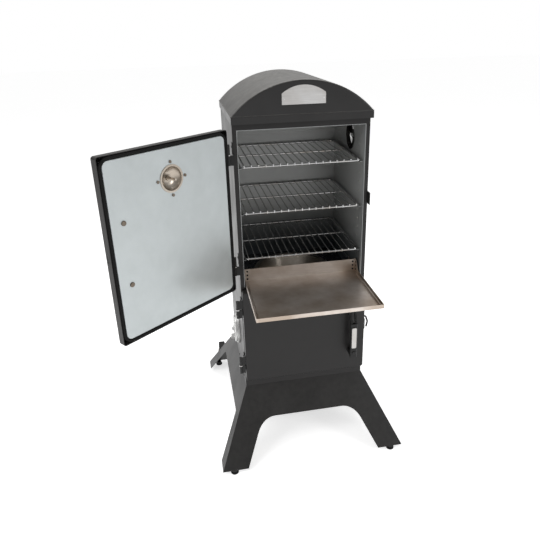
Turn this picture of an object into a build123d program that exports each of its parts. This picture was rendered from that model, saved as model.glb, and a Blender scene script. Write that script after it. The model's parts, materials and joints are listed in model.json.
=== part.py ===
"""Upright cabinet smoker: insulated cabinet on a splayed sheet base, two hinged doors,
a slide-out shelf, wire racks and a solid-fuel fire compartment with rotary air dampers.

Millimetres, +Z up, front of the cabinet towards -Y. The upper door rests open and the shelf
rests pulled out. Everything is drawn about the cabinet's own centre, and save() moves it so
that the origin is on the floor under the middle of the whole object's box.
"""
import os
from math import cos, radians, sin

from build123d import *

# ---------------------------------------------------------------- cabinet
CABINET_X = 118.0
CABINET_Y = 45.1
HALF_WIDTH = 203.0
HALF_DEPTH = 181.0
CABINET_BOTTOM = 230.0
CABINET_TOP = 1110.0
SHEET = 2.0
THIN = 1.5
LINER_X = 191.7
LINER_BACK = 156.0
LINER_BOTTOM = 240.0
LINER_TOP = 1100.0
FRAME_X = 190.5
OPENING_X = 189.0
TRIM = FRAME_X - OPENING_X
TRIM_DEPTH = 14.0
UPPER_OPENING = (602.0, 1091.5)
LOWER_OPENING = (277.5, 580.5)
FRONT = -HALF_DEPTH
FRAME_BACK = FRONT + SHEET

# ---------------------------------------------------------------- lid
LID_HALF_WIDTH = 206.0
LID_FRONT = -199.5
LID_REAR = 184.0
LID_SPRING = 1131.0
LID_PEAK = 1224.0
PLATE_HALF_WIDTH = 62.5
PLATE_Z = (1158.0, 1188.0, 1210.0)

# ---------------------------------------------------------------- base
FOOT_Z = 14.0
FOOT_X = 309.0
FOOT_FRONT = -334.0
FOOT_REAR = 318.0
BASE_SHEET = 2.3
ARCH_TOP = 140.0
ARCH_HALF_TOP = 159.0
LEG_WIDTH = 85.0
ARCH_RADIUS = 69.0
SIDE_ARCH_TOP = 145.0
SIDE_LEG_WIDTH = 56.0
GLIDE_RADIUS = 13.0
GLIDE_X = 270.0
GLIDE_INSET = 9.0

# ---------------------------------------------------------------- wheels
WHEEL_RADIUS = 38.0
WHEEL_WIDTH = 26.0
WHEEL_X = 250.0
WHEEL_Y = 350.0
WHEEL_Z = 42.0
AXLE_RADIUS = 4.0
RUNNING = 0.06

# ---------------------------------------------------------------- doors and hinges
DOOR_HALF_WIDTH = 201.5
DOOR_FRONT = -205.0
DOOR_BACK = -183.0
SKIN_BACK = -184.0
LINER_INSET = 12.5
LINER_CORNER = 16.0
GASKET_INSET = 2.2
GASKET_BACK = -181.4
GASKET_DEPTH = 9.0
UPPER_DOOR = (618.0, 1103.0)
LOWER_DOOR = (266.0, 594.0)
UPPER_DOOR_REST = 140.8
PIN_X = -218.0
PIN_Y = -200.0
PIN_RADIUS = 3.0
KNUCKLE_RADIUS = 4.8
HINGE_HALF = 30.0
UPPER_HINGES = (1028.0, 686.0)
LOWER_HINGES = (536.0, 328.0)

# ---------------------------------------------------------------- handles
HANDLE_X = 154.0
HANDLE_FRONT = -245.0
HANDLE_BAR = 12.0
HANDLE_HALF_WIDTH = 11.5
BAR_LENGTH = 120.0
INSERT_WIDTH = 18.0
INSERT_HEIGHT = 78.0
HANDLE_SPACING = 161.0
SCREW_RADIUS = 3.0
UPPER_HANDLE = 776.0
LOWER_HANDLE = 340.0

# ---------------------------------------------------------------- thermometer
GAUGE_Z = 1012.0
GAUGE_RADIUS = 38.0
GAUGE_FACE = 34.0
STEM_RADIUS = 5.0
CUP_RADIUS = 33.0
CUP_FLOOR = -199.0
CUP_SCREW_RADIUS = 43.0

# ---------------------------------------------------------------- shelf
SHELF_HALF = 186.0
SHELF_Z = 603.0
SHELF_FRONT = -408.0
SHELF_REAR = -138.0
SHELF_LIP = 12.0
SHELF_FLANGE = 42.0
RUNNER_END = -60.0
GUSSET_START = -176.0
GUIDE_FRONT = -166.0
GUIDE_REAR = 150.0

# ---------------------------------------------------------------- racks
RACK_LEVELS = {"rack_bottom": 692.0, "rack_middle": 839.0, "rack_top": 981.0}
RACK_HALF = 186.0
RACK_FRONT = -169.0
RACK_REAR = 148.0
RACK_ROD = 3.0
RACK_WIRE = 1.9
RACK_WIRES = 17
RACK_PITCH = 21.5

# ---------------------------------------------------------------- fire compartment
PAN_HALF = 150.0
PAN_FRONT = -151.0
PAN_REAR = 140.0
PAN_BOTTOM = 283.0
PAN_HEIGHT = 40.0
BASKET_HALF_X = 135.0
BASKET_HALF_Y = 125.0
BASKET_BOTTOM = 328.0
BASKET_HEIGHT = 100.0
BOWL_RADIUS = 134.0
BOWL_WALL = 121.0
BOWL_BASE = 85.0
BOWL_Y = 4.0
BOWL_TOP = 571.5
BOWL_DEPTH = 81.5
SUPPORT_Z = 568.5

# ---------------------------------------------------------------- dampers and hook
INTAKE = (-20.0, 365.0)
EXHAUST = (-25.0, 1031.0)
DUCT_RADIUS = 45.0
HOUSING_RADIUS = 52.5
ROTOR_RADIUS = 47.5
HOUSING_DEPTH = 8.0
ROTOR_DEPTH = 5.5
KNOB_LENGTH = 14.0
BOLT_RADIUS = 3.0
HOOK_Y = -150.0
HOOK_Z = 431.0


# ---------------------------------------------------------------- helpers
def box(x0, x1, y0, y1, z0, z1):
    """Box between two corners."""
    return Pos((x0 + x1) / 2, (y0 + y1) / 2, (z0 + z1) / 2) * Box(x1 - x0, y1 - y0, z1 - z0)


def front_plane(y):
    """Sketch plane in X and Z whose extrusions grow towards the front."""
    return Plane(origin=(0, y, 0), x_dir=(1, 0, 0), z_dir=(0, -1, 0))


def side_plane(x):
    """Sketch plane in Y and Z whose extrusions grow towards +X."""
    return Plane(origin=(x, 0, 0), x_dir=(0, 1, 0), z_dir=(1, 0, 0))


def slab_y(sketch, y0, y1):
    """Prism of an X-Z sketch between two depths, y0 < y1."""
    return extrude(front_plane(y1) * sketch, amount=y1 - y0)


def slab_x(sketch, x0, x1):
    """Prism of a Y-Z sketch between x0 < x1."""
    return extrude(side_plane(x0) * sketch, amount=x1 - x0)


def rod(start, end, radius):
    """Round bar between two points."""
    direction = Vector(*end) - Vector(*start)
    return extrude(Plane(origin=start, z_dir=direction) * Circle(radius), amount=direction.length)


def polygon(*points):
    """Closed face through the given points."""
    return make_face(Polyline(*points, points[0]))


def both_sides(shape):
    """The shape and its mirror image across the middle of the cabinet."""
    return [shape, mirror(shape, Plane.YZ)]


def swing(shape):
    """Turns a closed upper-door piece to its open rest angle about the hinge pins."""
    return shape.rotate(Axis((PIN_X, PIN_Y, 0), (0, 0, 1)), -UPPER_DOOR_REST)


def save(node, *shapes):
    """Moves a node's solids to the object's own origin and writes them to their STEP file."""
    place = Pos(CABINET_X, CABINET_Y, 0)
    solids = [place * solid for shape in shapes for solid in shape.solids()]
    export_step(solids[0] if len(solids) == 1 else Compound(solids), f"parts/{node}.step")


# ---------------------------------------------------------------- cabinet walls
def hole_columns():
    """Two columns of small punched holes that a liner side carries, as seen in Y and Z."""
    columns = (-125.0, 98.0)
    levels = [664.0 + 30.0 * step for step in range(15)]
    return [Pos(y, z) * Circle(3.0) for y in columns for z in levels]


def side_panel(ducts):
    """Outer side sheet on the +X side, with a round hole for each air duct."""
    outline = polygon(
        (FRAME_BACK, CABINET_BOTTOM), (HALF_DEPTH, CABINET_BOTTOM),
        (HALF_DEPTH, CABINET_TOP), (FRAME_BACK, CABINET_TOP))
    for y, z in ducts:
        outline -= Pos(y, z) * Circle(DUCT_RADIUS)
    return slab_x(outline, HALF_WIDTH - SHEET, HALF_WIDTH)


def liner_side(ducts):
    """Inner side sheet on the +X side, with duct holes and hole columns."""
    outline = polygon(
        (FRAME_BACK, LINER_BOTTOM), (LINER_BACK, LINER_BOTTOM),
        (LINER_BACK, LINER_TOP), (FRAME_BACK, LINER_TOP))
    for y, z in ducts:
        outline -= Pos(y, z) * Circle(DUCT_RADIUS)
    for hole in hole_columns():
        outline -= hole
    return slab_x(outline, LINER_X, LINER_X + THIN)


def side_insulation(ducts):
    """Board between the two side sheets on the +X side."""
    outline = polygon(
        (FRAME_BACK, LINER_BOTTOM), (HALF_DEPTH - SHEET, LINER_BOTTOM),
        (HALF_DEPTH - SHEET, LINER_TOP), (FRAME_BACK, LINER_TOP))
    for y, z in ducts:
        outline -= Pos(y, z) * Circle(DUCT_RADIUS)
    return slab_x(outline, LINER_X + THIN, HALF_WIDTH - SHEET)


def build_walls():
    """Outer sheets, liner and insulation. The right side has both ducts, the left only the intake."""
    right = (INTAKE, EXHAUST)
    left = (INTAKE,)
    save("side_panels", side_panel(right), mirror(side_panel(left), Plane.YZ))
    inner_x = HALF_WIDTH - SHEET
    save("back_panel", box(-inner_x, inner_x, HALF_DEPTH - SHEET, HALF_DEPTH, CABINET_BOTTOM, CABINET_TOP))
    save(
        "end_plates",
        box(-inner_x, inner_x, FRAME_BACK, HALF_DEPTH - SHEET, CABINET_BOTTOM, CABINET_BOTTOM + SHEET),
        box(-inner_x, inner_x, FRAME_BACK, HALF_DEPTH - SHEET, CABINET_TOP - SHEET, CABINET_TOP))
    save("liner_sides", liner_side(right), mirror(liner_side(left), Plane.YZ))
    outer_x = LINER_X + THIN
    save("liner_back", box(-outer_x, outer_x, LINER_BACK, LINER_BACK + THIN, LINER_BOTTOM, LINER_TOP))
    save(
        "liner_ends",
        box(-LINER_X, LINER_X, FRAME_BACK, LINER_BACK, LINER_BOTTOM, LINER_BOTTOM + THIN),
        box(-LINER_X, LINER_X, FRAME_BACK, LINER_BACK, LINER_TOP - THIN, LINER_TOP))
    back_board = box(
        -outer_x, outer_x, LINER_BACK + THIN, HALF_DEPTH - SHEET, LINER_BOTTOM, LINER_TOP)
    save(
        "wall_insulation", back_board, side_insulation(right),
        mirror(side_insulation(left), Plane.YZ))


def build_front_frame():
    """Painted frame round both openings, with the liner's bright return flanges inside it."""
    jamb = box(FRAME_X, HALF_WIDTH, FRONT, FRAME_BACK, CABINET_BOTTOM, CABINET_TOP)
    corner = jamb.edges().filter_by(Axis.Z).sort_by(lambda edge: edge.center().X - edge.center().Y)[-1]
    jamb = fillet(corner, 1.5)
    rails = [
        box(-FRAME_X, FRAME_X, FRONT, FRAME_BACK, z0, z1)
        for z0, z1 in (
            (CABINET_BOTTOM, LOWER_OPENING[0]),
            (LOWER_OPENING[1], UPPER_OPENING[0]),
            (UPPER_OPENING[1], CABINET_TOP))]
    save("front_frame", *both_sides(jamb), *rails)
    trim_back = FRONT + TRIM_DEPTH
    flanges = []
    for z0, z1 in (UPPER_OPENING, LOWER_OPENING):
        flanges += both_sides(box(OPENING_X, FRAME_X, FRONT, trim_back, z0, z1))
        flanges.append(box(-OPENING_X, OPENING_X, FRONT, trim_back, z1 - TRIM, z1))
    low = LOWER_OPENING[0]
    flanges.append(box(-OPENING_X, OPENING_X, FRONT, trim_back, low, low + TRIM))
    save("opening_trim", *flanges)


# ---------------------------------------------------------------- lid
def lid_profile(inset, bottom):
    """Barrel-topped outline in X and Z, drawn in from the lid's outer face."""
    half = LID_HALF_WIDTH - inset
    spring = LID_SPRING
    arch = ThreePointArc((half, spring), (0, LID_PEAK - inset), (-half, spring))
    sides = Polyline((-half, spring), (-half, bottom), (half, bottom), (half, spring))
    return make_face([arch, sides])


def build_lid():
    """Arched lid with a rim flange underneath, and the blank plate on its front."""
    lid = slab_y(lid_profile(0, CABINET_TOP), LID_FRONT, LID_REAR)
    front_arch = lid.faces().sort_by(Axis.Y)[0].edges().sort_by(Axis.Z)[-1]
    rear_arch = lid.faces().sort_by(Axis.Y)[-1].edges().sort_by(Axis.Z)[-1]
    lid = fillet([front_arch, rear_arch], 4.0)
    lid -= slab_y(lid_profile(SHEET, CABINET_TOP + SHEET), LID_FRONT + SHEET, LID_REAR - SHEET)
    mouth_x = HALF_WIDTH - 10
    lid -= box(-mouth_x, mouth_x, FRONT + 10, HALF_DEPTH - 10, CABINET_TOP, CABINET_TOP + SHEET)
    save("lid", lid)
    low, shoulder, peak = PLATE_Z
    half = PLATE_HALF_WIDTH
    edge = [
        ThreePointArc((half, shoulder), (0, peak), (-half, shoulder)),
        Polyline((-half, shoulder), (-half, low), (half, low), (half, shoulder))]
    save("nameplate", slab_y(make_face(edge), LID_FRONT - 1.5, LID_FRONT))


# ---------------------------------------------------------------- base
def frustum_panel(top, bottom):
    """Sloped sheet between a plan outline at the cabinet and one at the feet."""
    upper = Plane.XY.offset(CABINET_BOTTOM) * polygon(*top)
    lower = Plane.XY.offset(FOOT_Z) * polygon(*bottom)
    return loft([upper, lower], ruled=True)


def strip_outline(half, y_outer, y_inner):
    """Plan outline of a front or rear panel, mitred at both ends."""
    inner = half - BASE_SHEET
    return (-half, y_outer), (half, y_outer), (inner, y_inner), (-inner, y_inner)


def side_outline(half, front, rear):
    """Plan outline of the +X side panel, mitred at both ends."""
    inner = half - BASE_SHEET
    return (half, front), (half, rear), (inner, rear - BASE_SHEET), (inner, front + BASE_SHEET)


def front_arch():
    """Gap between the legs of the front and rear panels, in X and Z."""
    slope = (FOOT_X - LEG_WIDTH - ARCH_HALF_TOP) / (ARCH_TOP - FOOT_Z)
    reach = FOOT_X - LEG_WIDTH + slope * FOOT_Z
    outline = polygon((-reach, 0), (-ARCH_HALF_TOP, ARCH_TOP), (ARCH_HALF_TOP, ARCH_TOP), (reach, 0))
    return fillet(outline.vertices().group_by(Axis.Y)[-1], ARCH_RADIUS)


def side_arch():
    """Gap between the legs of a side panel, in Y and Z."""
    front_foot = FOOT_FRONT + SIDE_LEG_WIDTH
    rear_foot = FOOT_REAR - SIDE_LEG_WIDTH
    rise = (FOOT_REAR - HALF_DEPTH) / (CABINET_BOTTOM - FOOT_Z)
    front_top = front_foot + rise * (SIDE_ARCH_TOP - FOOT_Z)
    rear_top = rear_foot - rise * (SIDE_ARCH_TOP - FOOT_Z)
    outline = polygon(
        (front_foot - rise * FOOT_Z, 0), (front_top, SIDE_ARCH_TOP),
        (rear_top, SIDE_ARCH_TOP), (rear_foot + rise * FOOT_Z, 0))
    return fillet(outline.vertices().group_by(Axis.Y)[-1], 14.0)


def build_base():
    """Four sloped panels that meet in mitred corners, each cut away between its legs."""
    for node, face, foot in (("base_front", FRONT, FOOT_FRONT), ("base_back", HALF_DEPTH, FOOT_REAR)):
        inward = BASE_SHEET if face < 0 else -BASE_SHEET
        panel = frustum_panel(
            strip_outline(HALF_WIDTH, face, face + inward),
            strip_outline(FOOT_X, foot, foot + inward))
        near, far = sorted((face - 2 * inward, foot - 10 * inward))
        save(node, panel - slab_y(front_arch(), near - 20, far + 20))
    side = frustum_panel(
        side_outline(HALF_WIDTH, FRONT, HALF_DEPTH),
        side_outline(FOOT_X, FOOT_FRONT, FOOT_REAR))
    side -= slab_x(side_arch(), HALF_WIDTH - 20, FOOT_X + 20)
    save("base_sides", *both_sides(side))
    glides = []
    for y in (FOOT_FRONT + GLIDE_INSET, FOOT_REAR - GLIDE_INSET):
        stem = rod((GLIDE_X, y, 4.0), (GLIDE_X, y, FOOT_Z), GLIDE_RADIUS - 3.0)
        pad = rod((GLIDE_X, y, 0), (GLIDE_X, y, 5.0), GLIDE_RADIUS)
        glides += both_sides(stem + fillet(pad.edges().sort_by(Axis.Z)[0], 1.5))
    save("foot_glides", *glides)


def base_rear_y(z):
    """Outer face of the rear base panel at a height."""
    return HALF_DEPTH + (FOOT_REAR - HALF_DEPTH) * (CABINET_BOTTOM - z) / (CABINET_BOTTOM - FOOT_Z)


def build_wheels():
    """Two plain wheels on bolts, each carried by a plate behind a rear leg."""
    inner = WHEEL_X - WHEEL_WIDTH / 2
    outer = WHEEL_X + WHEEL_WIDTH / 2
    plate_x = (inner - 6.0, inner - 3.0)
    low, high = 28.0, 95.0
    plate = polygon(
        (base_rear_y(low), low), (WHEEL_Y + 6, WHEEL_Z - 9),
        (WHEEL_Y + 6, WHEEL_Z + 9), (base_rear_y(high), high))
    plate += Pos(WHEEL_Y, WHEEL_Z) * Circle(12.0)
    plate -= Pos(WHEEL_Y, WHEEL_Z) * Circle(AXLE_RADIUS + 0.02)
    save("wheel_brackets", *both_sides(slab_x(plate, *plate_x)))
    centre = (WHEEL_Y, WHEEL_Z)
    bolt = rod((plate_x[0] - 5, *centre), (outer + 5, *centre), AXLE_RADIUS)
    bolt += rod((outer + 1, *centre), (outer + 5, *centre), 9.0)
    bolt += rod((plate_x[0] - 5, *centre), (plate_x[0], *centre), 8.0)
    bolt += rod((plate_x[1], *centre), (inner - 0.5, *centre), 7.0)
    save("wheel_bolts", *both_sides(bolt))
    wheel = rod((inner, *centre), (outer, *centre), WHEEL_RADIUS)
    wheel = fillet(wheel.edges(), 4.0)
    for x0, x1 in ((inner, inner + 5), (outer - 5, outer)):
        wheel -= slab_x(Pos(*centre) * (Circle(29.0) - Circle(13.0)), x0, x1)
    wheel -= rod((inner, *centre), (outer, *centre), AXLE_RADIUS + RUNNING)
    right, left = both_sides(wheel)
    save("wheel_right", right)
    save("wheel_left", left)


# ---------------------------------------------------------------- doors
def upright_outline(half, bottom, top, corner):
    """Rounded rectangle in X and Z."""
    return Pos(0, (bottom + top) / 2) * RectangleRounded(2 * half, top - bottom, corner)


def screw_hole(x, z, radius):
    """Hole through the whole thickness of a door."""
    return rod((x, DOOR_FRONT - 1, z), (x, DOOR_BACK + 1, z), radius)


def door_skin(bottom, top, holes):
    """Outer door sheet, folded back all round into a shallow pan."""
    skin = slab_y(upright_outline(DOOR_HALF_WIDTH, bottom, top, 7.0), DOOR_FRONT, SKIN_BACK)
    skin = fillet(skin.faces().sort_by(Axis.Y)[0].edges(), 3.0)
    hollow = upright_outline(DOOR_HALF_WIDTH - THIN, bottom + THIN, top - THIN, 5.5)
    skin -= slab_y(hollow, DOOR_FRONT + THIN, SKIN_BACK)
    for hole in holes:
        skin -= hole
    return skin


def door_liner(bottom, top, holes):
    """Inner door sheet: a smaller pan that faces the cabinet."""
    half = DOOR_HALF_WIDTH - LINER_INSET
    low, high = bottom + LINER_INSET, top - LINER_INSET
    liner = slab_y(upright_outline(half, low, high, LINER_CORNER), DOOR_FRONT + THIN, DOOR_BACK)
    liner = fillet(liner.faces().sort_by(Axis.Y)[-1].edges(), 1.4)
    hollow = upright_outline(half - THIN, low + THIN, high - THIN, LINER_CORNER - THIN)
    liner -= slab_y(hollow, DOOR_FRONT + THIN, DOOR_BACK - THIN)
    for hole in holes:
        liner -= hole
    return liner


def door_gasket(bottom, top):
    """Rope seal in the channel round the door liner."""
    outer = upright_outline(
        DOOR_HALF_WIDTH - GASKET_INSET, bottom + GASKET_INSET, top - GASKET_INSET,
        LINER_CORNER + LINER_INSET - GASKET_INSET)
    inner = upright_outline(
        DOOR_HALF_WIDTH - LINER_INSET, bottom + LINER_INSET, top - LINER_INSET, LINER_CORNER)
    return slab_y(outer - inner, GASKET_BACK - GASKET_DEPTH, GASKET_BACK)


def handle_arm(side, foot):
    """One arm from the top of the bar back to the door, spreading outwards as it rises."""
    bar_y = HANDLE_FRONT + HANDLE_BAR / 2
    bar_end = Pos(HANDLE_X + side * 7.0, bar_y, foot + BAR_LENGTH - 4) * Rectangle(6.0, HANDLE_BAR - 2)
    door_end = Pos(HANDLE_X + side * 11.0, DOOR_FRONT - 4, foot + HANDLE_SPACING + 7) * Rectangle(6.0, 8.0)
    return loft([bar_end, door_end], ruled=True)


def handle(foot):
    """Bow handle: a short lower foot, a flat bar and two arms that run back to the top screw."""
    x0, x1 = HANDLE_X - HANDLE_HALF_WIDTH, HANDLE_X + HANDLE_HALF_WIDTH
    back = HANDLE_FRONT + HANDLE_BAR
    top = foot + HANDLE_SPACING
    bar = box(x0, x1, HANDLE_FRONT, back, foot - 6, foot + BAR_LENGTH)
    grip = fillet(bar.edges().filter_by(Axis.Z), 3.0)
    grip += box(x0 + 2, x1 - 2, back - 2, DOOR_FRONT, foot - 6, foot + 9)
    grip += box(x0 - 2.5, x1 + 2.5, DOOR_FRONT - 4, DOOR_FRONT, top - 12, top + 7)
    for side in (-1, 1):
        grip += handle_arm(side, foot)
    for z in (foot, top):
        grip -= rod((HANDLE_X, DOOR_FRONT - 14, z), (HANDLE_X, DOOR_FRONT, z), SCREW_RADIUS)
    return grip


def handle_insert(foot):
    """Bright plate let into the front of the handle's bar."""
    outline = Pos(HANDLE_X, foot + 68) * RectangleRounded(INSERT_WIDTH, INSERT_HEIGHT, 5.0)
    return slab_y(outline, HANDLE_FRONT - 1.5, HANDLE_FRONT)


def handle_screws(foot):
    """Two screws through the door into the handle, and the round one on the bar's front."""
    screws = []
    for z, reach in ((foot, 14.0), (foot + HANDLE_SPACING, 4.0)):
        shank = rod((HANDLE_X, DOOR_FRONT - reach, z), (HANDLE_X, DOOR_BACK, z), SCREW_RADIUS)
        head = rod((HANDLE_X, DOOR_BACK, z), (HANDLE_X, DOOR_BACK + 3, z), 6.5)
        screws.append(shank + fillet(head.edges().sort_by(Axis.Y)[-1], 1.5))
    z = foot + 11.0
    button = rod((HANDLE_X, HANDLE_FRONT, z), (HANDLE_X, HANDLE_FRONT - 2.5, z), 6.5)
    screws.append(fillet(button.edges().sort_by(Axis.Y)[0], 1.5))
    return screws


def hinge_arm(x_leaf, low, high):
    """Knuckle round the hinge pin and the web that joins it to a leaf."""
    knuckle = rod((PIN_X, PIN_Y, low), (PIN_X, PIN_Y, high), KNUCKLE_RADIUS)
    return knuckle + box(PIN_X, x_leaf, PIN_Y - 2, PIN_Y + 1, low, high)


def door_hinge(z):
    """Door half of a lift-off hinge: the upper knuckle and its leaf on the door's edge."""
    low, high = z + 1.4, z + HINGE_HALF
    leaf = box(-DOOR_HALF_WIDTH - 2.5, -DOOR_HALF_WIDTH, DOOR_FRONT + 3, SKIN_BACK, low, high)
    half = leaf + hinge_arm(-DOOR_HALF_WIDTH - 2.0, low, high)
    return half - rod((PIN_X, PIN_Y, low), (PIN_X, PIN_Y, high - 2), PIN_RADIUS + RUNNING)


def cabinet_hinge(z):
    """Cabinet half of a hinge: a leaf on the side sheet, an arm and the lower knuckle."""
    low, high = z - HINGE_HALF, z - 1.0
    leaf = box(-HALF_WIDTH - 2.5, -HALF_WIDTH, FRONT + 1, FRONT + 13, low, z + HINGE_HALF)
    arm = box(-HALF_WIDTH - 2.5, -HALF_WIDTH, PIN_Y - 2, FRONT + 2, low, high)
    half = leaf + arm + hinge_arm(-HALF_WIDTH - 1.0, low, high)
    return half - rod((PIN_X, PIN_Y, low + 2), (PIN_X, PIN_Y, high), PIN_RADIUS + 0.02)


def build_hinges():
    """Cabinet halves, pins and washers of the four hinges."""
    levels = UPPER_HINGES + LOWER_HINGES
    save("hinge_brackets", *[cabinet_hinge(z) for z in levels])
    save("hinge_pins", *[
        rod((PIN_X, PIN_Y, z - 28), (PIN_X, PIN_Y, z + 27), PIN_RADIUS) for z in levels])
    save("hinge_washers", *[
        rod((PIN_X, PIN_Y, z - 1), (PIN_X, PIN_Y, z + 1), 6.5)
        - rod((PIN_X, PIN_Y, z - 1), (PIN_X, PIN_Y, z + 1), PIN_RADIUS + 0.1)
        for z in levels])


def build_latches():
    """Side catches that hold each door's free edge, each with two low bumps."""
    catches = []
    for z in (867.0, 430.0):
        plate = box(HALF_WIDTH, HALF_WIDTH + 2, -199, -165, z - 19, z + 19)
        for step in (-10, 10):
            plate += rod((HALF_WIDTH - 0.7, -192, z + step), (HALF_WIDTH, -192, z + step), 4.0)
        catches.append(plate)
    save("latch_strikes", *catches)


def build_upper_door():
    """Open upper door with its thermometer."""
    bottom, top = UPPER_DOOR
    holes = [
        screw_hole(HANDLE_X, UPPER_HANDLE, SCREW_RADIUS + 0.05),
        screw_hole(HANDLE_X, UPPER_HANDLE + HANDLE_SPACING, SCREW_RADIUS + 0.05),
        screw_hole(0, GAUGE_Z, STEM_RADIUS + 0.05)]
    cup_hole = rod((0, DOOR_FRONT + 3, GAUGE_Z), (0, DOOR_BACK + 1, GAUGE_Z), CUP_RADIUS)
    save("upper_door_skin", swing(door_skin(bottom, top, holes)))
    save("upper_door_liner", swing(door_liner(bottom, top, holes + [cup_hole])))
    save("upper_door_gasket", swing(door_gasket(bottom, top)))
    save("upper_door_handle", swing(handle(UPPER_HANDLE)))
    save("upper_handle_insert", swing(handle_insert(UPPER_HANDLE)))
    screws = handle_screws(UPPER_HANDLE)
    for quarter in range(4):
        x = CUP_SCREW_RADIUS * cos(radians(90 * quarter))
        z = GAUGE_Z + CUP_SCREW_RADIUS * sin(radians(90 * quarter))
        screws.append(rod((x, DOOR_BACK, z), (x, DOOR_BACK + 2, z), 4.0))
    save("upper_door_screws", *[swing(screw) for screw in screws])
    save("upper_door_hinges", *[swing(door_hinge(z)) for z in UPPER_HINGES])
    build_thermometer()
    build_cup()


def build_thermometer():
    """Dial thermometer: case, stem and nut in one piece, dial, needle and glass."""
    centre = (0, GAUGE_Z)
    front = DOOR_FRONT - 18.0
    floor = DOOR_FRONT - 10.0
    case = slab_y(Pos(*centre) * Circle(GAUGE_RADIUS), front, DOOR_FRONT)
    case = fillet(case.edges().sort_by(Axis.Y)[0], 3.0)
    case -= slab_y(Pos(*centre) * Circle(GAUGE_FACE), front, floor)
    case += slab_y(Pos(*centre) * Circle(STEM_RADIUS), DOOR_FRONT, DOOR_BACK - 4)
    case += slab_y(Pos(*centre) * RegularPolygon(8.0, 6), CUP_FLOOR + 2, CUP_FLOOR + 7)
    case += slab_y(Pos(*centre) * Circle(3.0), DOOR_BACK - 4, DOOR_BACK + 16)
    save("thermometer_case", swing(case))
    save("thermometer_dial", swing(slab_y(Pos(*centre) * Circle(GAUGE_FACE - 0.1), floor - 1, floor)))
    hand = polygon((-1.6, -9), (1.6, -9), (0.5, 27), (-0.5, 27))
    needle = slab_y(Pos(*centre) * Rot(0, 0, 135) * hand, floor - 3.2, floor - 2.2)
    needle += slab_y(Pos(*centre) * Circle(3.5), floor - 3.6, floor - 1.4)
    save("thermometer_needle", swing(needle))
    save("thermometer_glass", swing(slab_y(Pos(*centre) * Circle(GAUGE_FACE), front + 1, front + 2.5)))


def build_cup():
    """Round dish let into the door's inner sheet round the thermometer's stem."""
    rim_radius = CUP_RADIUS + 3
    mouth_radius = CUP_RADIUS - 2
    wall_radius = CUP_RADIUS - 0.2
    rim = Polyline(
        (rim_radius, DOOR_BACK), (rim_radius, DOOR_BACK + THIN), (mouth_radius, DOOR_BACK + THIN))
    dish = ThreePointArc(
        (mouth_radius, DOOR_BACK + THIN), (20, CUP_FLOOR + 3.5), (STEM_RADIUS + 0.1, CUP_FLOOR + 1.2))
    back = Polyline(
        (STEM_RADIUS + 0.1, CUP_FLOOR + 1.2), (STEM_RADIUS + 0.1, CUP_FLOOR), (CUP_RADIUS - 9, CUP_FLOOR),
        (wall_radius, DOOR_BACK - 4), (wall_radius, DOOR_BACK), (rim_radius, DOOR_BACK))
    cup = revolve(make_face([rim, dish, back]), Axis.Y)
    save("thermometer_cup", swing(Pos(0, 0, GAUGE_Z) * cup))


def build_lower_door():
    """Closed lower door."""
    bottom, top = LOWER_DOOR
    holes = [
        screw_hole(HANDLE_X, LOWER_HANDLE, SCREW_RADIUS + 0.05),
        screw_hole(HANDLE_X, LOWER_HANDLE + HANDLE_SPACING, SCREW_RADIUS + 0.05)]
    save("lower_door_skin", door_skin(bottom, top, holes))
    save("lower_door_liner", door_liner(bottom, top, holes))
    save("lower_door_gasket", door_gasket(bottom, top))
    save("lower_door_handle", handle(LOWER_HANDLE))
    save("lower_handle_insert", handle_insert(LOWER_HANDLE))
    save("lower_door_screws", *handle_screws(LOWER_HANDLE))
    save("lower_door_hinges", *[door_hinge(z) for z in LOWER_HINGES])


# ---------------------------------------------------------------- shelf and racks
def shelf_side():
    """Side wall of the shelf in Y and Z: low lip, S-shaped gusset and rear runner arm."""
    lip_top = SHELF_Z + SHELF_LIP
    flange_top = SHELF_Z + SHELF_FLANGE
    runner_top = SHELF_Z + 18.0
    curve = Spline(
        [(GUSSET_START, lip_top), (SHELF_REAR, flange_top)], tangents=[(1, 0), (1, 0)])
    edge = Polyline(
        (SHELF_REAR, flange_top), (SHELF_REAR + 8, flange_top), (SHELF_REAR + 8, runner_top),
        (RUNNER_END, runner_top), (RUNNER_END, SHELF_Z), (SHELF_FRONT, SHELF_Z),
        (SHELF_FRONT, lip_top), (GUSSET_START, lip_top))
    return make_face([curve, edge])


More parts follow.
